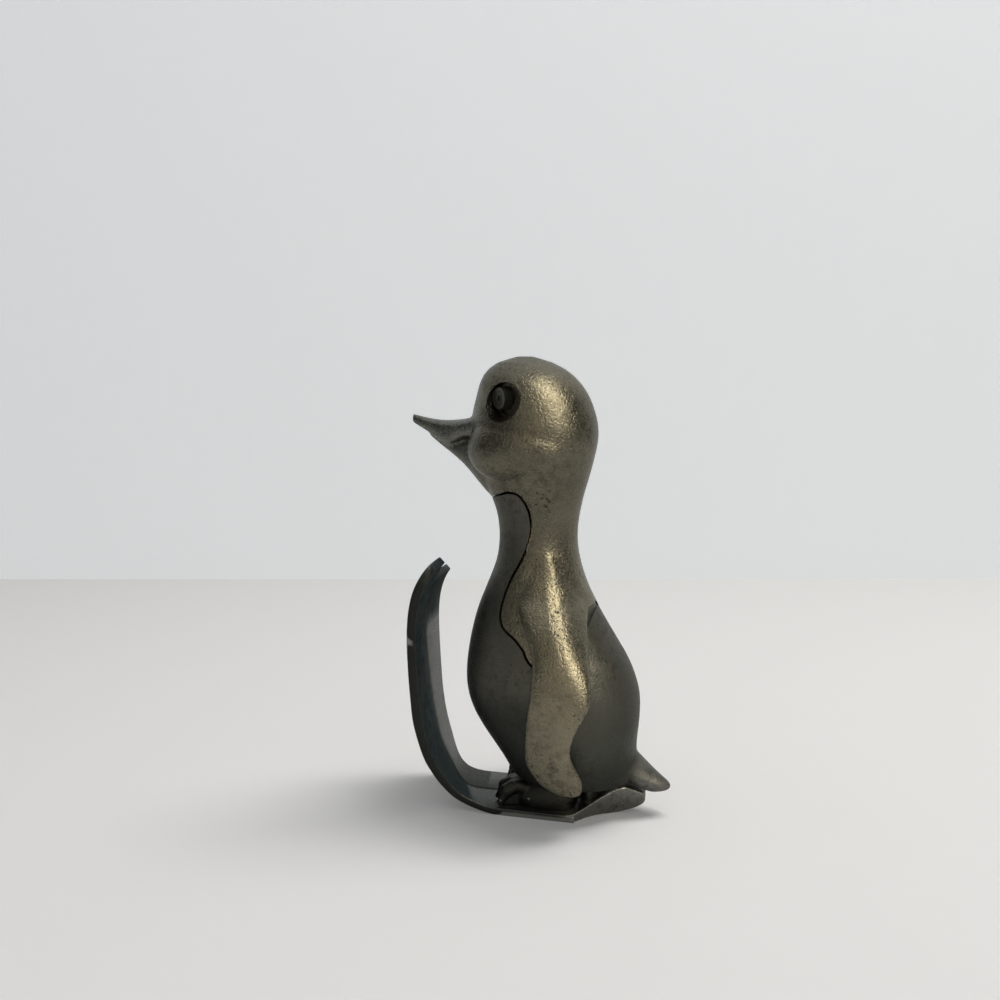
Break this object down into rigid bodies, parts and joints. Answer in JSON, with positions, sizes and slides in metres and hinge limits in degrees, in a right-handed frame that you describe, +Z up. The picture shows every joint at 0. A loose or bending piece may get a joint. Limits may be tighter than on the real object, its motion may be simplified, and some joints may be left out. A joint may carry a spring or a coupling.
{
  "type": "figural table lighter",
  "caption": "Cast penguin on curled skis whose head and flippers tip back over a small lighter burner.",
  "frame": {"origin": "middle of the plan outline, on the table plane", "axes": "-X is the way the penguin looks, +Z is up, and its left side is at -Y"},
  "size_m": [0.05, 0.035, 0.088],
  "materials": {
    "pewter": "satin bronzed pewter",
    "dark_pewter": "dull dark pewter",
    "ski_pewter": "satin grey pewter",
    "steel": "plain",
    "brass": "plain",
    "cotton": "raw cotton",
    "flint": "dull",
    "felt": "dark felt"
  },
  "bodies": {
    "base": {"body_casting": "pewter", "left_foot": "dark_pewter", "right_foot": "dark_pewter", "left_ski": "ski_pewter", "right_ski": "ski_pewter", "heel_block": "ski_pewter", "left_pivot_pin": "steel", "right_pivot_pin": "steel", "base_plate": "steel", "base_screw_back": "steel", "base_screw_left": "steel", "base_screw_right": "steel", "left_ski_rivet": "steel", "right_ski_rivet": "steel", "heel_screw": "steel", "insert_clip": "steel", "wheel_axle": "steel", "flint_spring": "steel", "flint_screw": "steel", "filler_screw": "steel", "insert_can": "brass", "can_bottom": "brass", "burner_deck": "brass", "wick_tube": "brass", "flint_tube": "brass", "wick": "cotton", "cotton_wadding": "cotton", "flint": "flint"},
    "head": {"head_casting": "pewter", "left_eye_stud": "pewter", "right_eye_stud": "pewter", "striker_pawl": "steel", "snuffer_arm": "steel", "snuffer_pad": "felt", "head_screw": "steel"},
    "wheel": {"flint_wheel": "steel"}
  },
  "joints": [
    {"name": "head_tilt", "type": "hinge", "parent": "base", "child": "head", "pos_m": [0.00405, 0, 0.0355], "axis": [0, 1, 0], "range_deg": [0, 22]},
    {"name": "wheel_spin", "type": "hinge", "parent": "base", "child": "wheel", "pos_m": [0.00015, 0, 0.0603], "axis": [0, 1, 0], "range_deg": [0, 90]}
  ],
  "couplings": [
    {"joint": "wheel_spin", "follows": "head_tilt", "ratio": 4}
  ]
}
